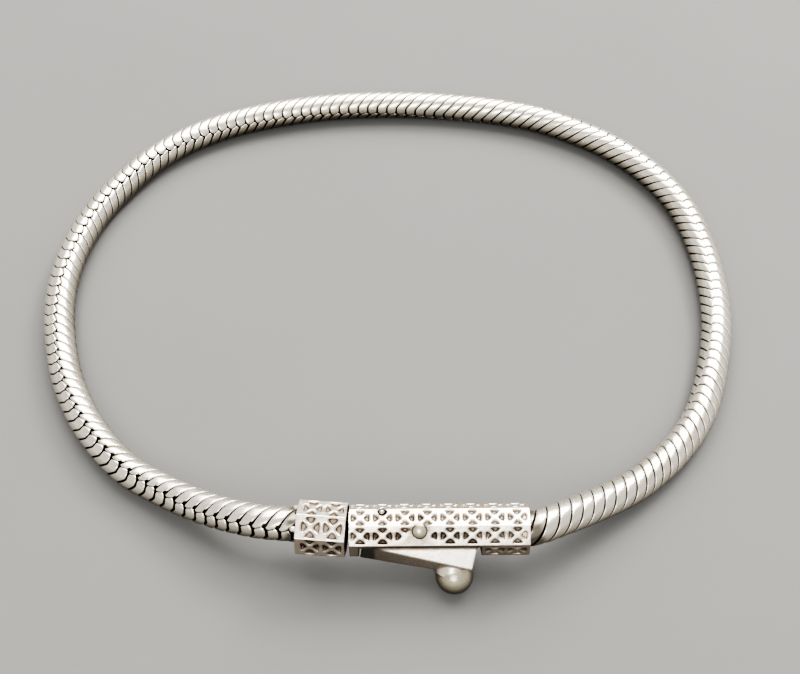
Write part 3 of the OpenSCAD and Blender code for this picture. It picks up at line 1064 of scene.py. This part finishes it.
@dataclass
class Clasp:
    """The cast barrel and cap, the rivet, the small pin and the polished lever.

    A facing pair says where the painted shade starts and where it is full, as the metal turns from
    facing up, which is 1, to facing down, which is -1.
    """

    origin: Triple = (-3.26, -25.29, 4.23)
    roll: float = 40.0
    barrel_flat: float = 2.06
    barrel_sides: int = 8
    cap_flat: float = 2.14
    cap_sides: int = 7
    cap_gap: float = 0.22
    cap_yaw: float = 5.0
    cap_turn: float = 24.0
    grime_and_shade_reach: float = 0.40
    slot_reach: float = 0.66
    ring_reach: float = 0.20
    lever_reach: float = 0.44
    cast_facing: Pair = (0.95, -0.35)
    cast_dulling: float = 0.05
    cast_below: float = 0.86
    pit_start: float = 0.07
    pit_share: float = 0.75
    pit_painted_shade: float = 0.34
    pit_below: float = 0.50
    hollow_full: float = 0.010
    corner_painted_shade: float = 0.5
    plain_facing: Pair = (0.60, -0.10)
    plain_dulling: float = 0.10
    plain_below: float = 0.62
    pin_dulling: float = 0.24
    nose_end: float = -1.85
    nose_black: float = 0.30
    nose_clear: float = 0.85
    nose_fade: float = 5.5
    nose_darkening: float = 0.12
    ball_at: Triple = (5.69, -28.38, 1.63)
    ball_r: float = 1.67
    ball_dulling: float = 0.30

    def __post_init__(self) -> None:
        """Places the prisms of the barrel and the cap."""
        self.barrel = Prism(self.origin, turned("X", self.roll), self.barrel_sides, self.barrel_flat)
        cap_start = (self.origin[0] - self.cap_gap, self.origin[1], self.origin[2])
        cap_axes = turned("Z", -self.cap_yaw) @ turned("X", self.cap_turn)
        self.cap = Prism(cap_start, cap_axes, self.cap_sides, self.cap_flat)

    def dress_cast(self, obj: Object, prism: Prism, near: dict[float, list[Object]]) -> None:
        """Stores the relief's depth and the painted shade on a cast piece: darker facing down, in the pits
        and their corners, and beside other pieces.

        Args:
            obj: The cast piece.
            prism: The prism that its facets lie on.
            near: The pieces beside which grime and painted shade gather, by how far they reach in
                millimetres.
        """
        points = mesh_points(obj.data)
        depth, normal = prism.measure(points / MM)
        below = smooth_step(*self.cast_facing, normal[:, 2])
        pit = smooth_step(self.pit_start, self.pit_share * prism.bowl_depth, depth)
        corners = hollowness(obj.data, self.hollow_full * MM)
        # Painted shade: facets darken as they face down, and the pits and their corners darken, the more
        # so on facets that face down.
        shade = self.cast_dulling + self.cast_below * below
        shade += pit * (self.pit_painted_shade + self.pit_below * below) + self.corner_painted_shade * corners
        for reach, others in near.items():
            shade += grime_and_shade(points, others, reach)
        store_layer(obj.data, RELIEF, depth)
        store_layer(obj.data, SHADE, spread_out(obj.data, np.clip(shade, 0.0, 1.0), rounds=1))

    def on_ball(self, points: np.ndarray) -> np.ndarray:
        """Returns which points, in metres, lie on the lever's ball."""
        return np.linalg.norm(points / MM - np.array(self.ball_at), axis=1) < self.ball_r

    def finish_ball(self, lever: Object, finish: Material) -> None:
        """Gives the lever's ball the pins' satin finish.

        Args:
            lever: The lever.
            finish: The satin finish.
        """
        lever.data.materials.append(finish)
        on_ball = self.on_ball(mesh_points(lever.data))
        for face in lever.data.polygons:
            face.material_index = int(all(on_ball[number] for number in face.vertices))

    def lever_darkening(self, points: np.ndarray) -> np.ndarray:
        """Measures how much darker the lever's nose and ball are painted than the lever: the nose's tip is
        black with painted shade, the lever darkens towards the nose, and the ball is duller.

        Args:
            points: Points of the lever in metres.

        Returns:
            The darkening at each point.
        """
        along = points[:, 0] / MM
        # Painted shade: the nose's tip, shaded by the barrel, is painted black.
        black = smooth_step(self.nose_end + self.nose_clear, self.nose_end + self.nose_black, along)
        darkening = smooth_step(self.nose_end + self.nose_fade, self.nose_end, along)
        return black + self.nose_darkening * darkening + self.ball_dulling * self.on_ball(points)

    def dress_plain(self, obj: Object, barrel: Object, reach: float, extra: np.ndarray | float) -> None:
        """Stores the painted shade of a polished piece: darker where it faces down, and grime and painted
        shade beside the barrel.

        Args:
            obj: The polished piece.
            barrel: The barrel.
            reach: How far from the barrel the grime and painted shade reach, in millimetres.
            extra: How much darker it is painted for other reasons, as one number or one for each point.
        """
        points = mesh_points(obj.data)
        upward = spread_out(obj.data, mesh_normals(obj.data)[:, 2], rounds=3)
        below = smooth_step(*self.plain_facing, upward)
        # Painted shade: darker as the surface faces down, with grime and painted shade beside the barrel.
        shade = self.plain_dulling + self.plain_below * below + grime_and_shade(points, [barrel], reach) + extra
        store_layer(obj.data, RELIEF, np.zeros(len(points)))
        store_layer(obj.data, SHADE, spread_out(obj.data, np.clip(shade, 0.0, 1.0), rounds=2))

    def build(self, effects: SharedEffects) -> list[Object]:
        """Builds, dresses and places every piece of the clasp.

        Args:
            effects: The shared shader groups.

        Returns:
            The new objects.
        """
        carvings = (self.barrel.carve, self.cap.carve, None, None, None)
        made = [piece.soften(carve) for piece, carve in zip(CLASP_PIECES, carvings)]
        barrel, cap, lever, rivet, pin = made
        # The slot's edges and the lever's strip by the barrel get painted shadow from the gap; the joints
        # by the rivet, the pin and the cap get grime and painted shade.
        self.dress_cast(barrel, self.barrel, {self.slot_reach: [lever], self.grime_and_shade_reach: [rivet, pin]})
        self.dress_cast(cap, self.cap, {self.grime_and_shade_reach: [barrel]})
        self.dress_plain(lever, barrel, self.lever_reach, self.lever_darkening(mesh_points(lever.data)))
        self.dress_plain(rivet, barrel, self.ring_reach, self.pin_dulling)
        self.dress_plain(pin, barrel, self.ring_reach, self.pin_dulling)
        cast, satin = CAST_FINISH.build(effects), PIN_FINISH.build(effects)
        finishes = (cast, cast, LEVER_FINISH.build(effects), satin, satin)
        for piece, obj, finish in zip(CLASP_PIECES, made, finishes):
            piece.place(obj, finish)
        self.finish_ball(lever, satin)
        return made


@dataclass(frozen=True)
class SoftLight:
    """One square soft light that faces the bracelet, placed and sized in metres."""

    name: str
    at: Triple
    size: float
    watts: float
    tint: Triple

    def build(self) -> None:
        """Adds the light to the scene."""
        data = bpy.data.lights.new(self.name, "AREA")
        data.size = self.size
        data.energy = self.watts
        data.color = self.tint
        light = add_object(self.name, data)
        light.location = self.at
        light.rotation_euler = (-Vector(self.at)).to_track_quat("-Z", "Y").to_euler()


LIGHTS = (
    SoftLight("key_light", (0.19, 0.22, 0.27), 0.10, 0.7, (1.0, 0.97, 0.92)),
    SoftLight("window_light", (0.05, 0.26, 0.41), 0.50, 4.2, (1.0, 0.985, 0.955)),
    SoftLight("front_light", (-0.05, -0.36, 0.36), 0.22, 0.85, (1.0, 0.985, 0.96)),
)


@dataclass
class Studio:
    """The plain floor, the soft light and the camera at the photograph's angle."""

    camera_at: Triple = (1.2, -65.6, 93.51)
    look_down: float = 56.0
    roll: float = -0.5
    focal_px: float = 1127.0
    width_px: float = 800.0
    sensor_mm: float = 36.0
    clip_start: float = 0.002
    clip_end: float = 10.0
    floor_half: float = 0.6
    floor_roughness: float = 0.85
    floor_dark: Triple = (0.185, 0.183, 0.178)
    floor_pale: Triple = (0.205, 0.203, 0.198)
    mottle_scale: float = 40.0
    mottle_detail: float = 6.0
    world_tint: Triple = (1.0, 0.99, 0.965)
    world_light: float = 0.78
    contrast: str = "AgX - High Contrast"

    def build_camera(self) -> None:
        """Makes the camera and sets it as the scene's camera."""
        data = bpy.data.cameras.new("camera")
        data.sensor_width = self.sensor_mm
        data.lens = self.focal_px / self.width_px * self.sensor_mm
        data.clip_start = self.clip_start
        data.clip_end = self.clip_end
        camera = add_object("camera", data)
        tipped = Matrix.Rotation(math.radians(90.0 - self.look_down), 4, "X")
        rolled = Matrix.Rotation(math.radians(self.roll), 4, "Z")
        camera.matrix_world = Matrix.Translation(Vector(self.camera_at) * MM) @ tipped @ rolled
        bpy.context.scene.camera = camera

    def build_floor(self) -> None:
        """Makes the plain pale floor."""
        half = self.floor_half
        corners = np.array([(-half, -half, 0), (half, -half, 0), (half, half, 0), (-half, half, 0)])
        floor = make_object("floor", corners, [(0, 1, 2, 3)])
        material = bpy.data.materials.new("pale_floor")
        material.use_nodes = True
        nodes = NodeBuilder(material.node_tree)
        shader = material.node_tree.nodes["Principled BSDF"]
        shader.inputs["Roughness"].default_value = self.floor_roughness
        mottle = nodes.noise(nodes.place(), self.mottle_scale, self.mottle_detail)
        colour = nodes.blend(mottle, (*self.floor_dark, 1.0), (*self.floor_pale, 1.0))
        nodes.link(colour, shader.inputs["Base Color"])
        floor.data.materials.append(material)

    def build_world(self) -> None:
        """Makes the even, dim surroundings."""
        world = bpy.data.worlds.new("studio_surroundings")
        world.use_nodes = True
        back = world.node_tree.nodes["Background"]
        back.inputs["Color"].default_value = (*self.world_tint, 1.0)
        back.inputs["Strength"].default_value = self.world_light
        bpy.context.scene.world = world

    def build(self) -> None:
        """Builds the camera, the floor, the surroundings and the lights."""
        bpy.context.scene.view_settings.look = self.contrast
        self.build_camera()
        self.build_floor()
        self.build_world()
        for light in LIGHTS:
            light.build()


def main() -> None:
    """Builds the bracelet and its studio, and reports each piece."""
    logging.basicConfig(level=logging.INFO, format="%(name)s: %(message)s")
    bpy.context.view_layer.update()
    Studio().build()
    effects = SharedEffects()
    pieces = SnakeChain().build(CHAIN_FINISH.build(effects))
    pieces += Clasp().build(effects)
    for piece in pieces:
        mesh = piece.data
        LOG.info("%s: %d points, %d faces", piece.name, len(mesh.vertices), len(mesh.polygons))


if __name__ == "__main__":
    main()
